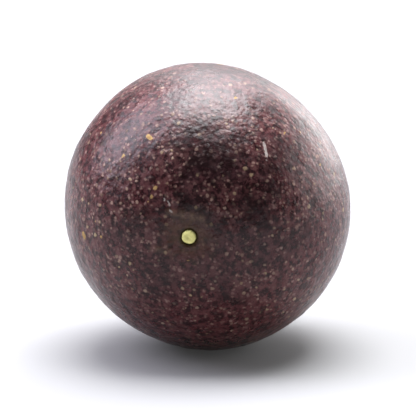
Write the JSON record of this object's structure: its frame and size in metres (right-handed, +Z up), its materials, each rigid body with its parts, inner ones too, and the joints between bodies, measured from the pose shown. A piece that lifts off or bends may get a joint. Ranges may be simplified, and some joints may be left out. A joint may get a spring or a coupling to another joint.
{
  "type": "passion fruit",
  "caption": "Whole purple passion fruit: a nearly round, leathery, finely speckled rind with a dished stem end, a short stem stub and a small flat spot that it rests on.",
  "frame": {"origin": "middle of the fruit's bounding box seen from above, on the flat spot that it rests on", "axes": "+Z up from the flat spot, -Y towards the stem end, so the fruit's own axis lies along Y, and +X to the right seen from the stem end"},
  "size_m": [0.0542, 0.0576, 0.0537],
  "materials": {
    "rind": "smooth, tough fruit skin, dark maroon to plum, thickly speckled with fine pinkish-beige dots and a few raised ochre corky spots, with a soft satin gloss and a faint bloom",
    "stem_stub": "matt, fibrous, pale yellow-green broken end of a green stem, darker at its rim"
  },
  "bodies": {
    "root": {"rind": "rind", "stem_stub": "stem_stub"}
  },
  "joints": []
}
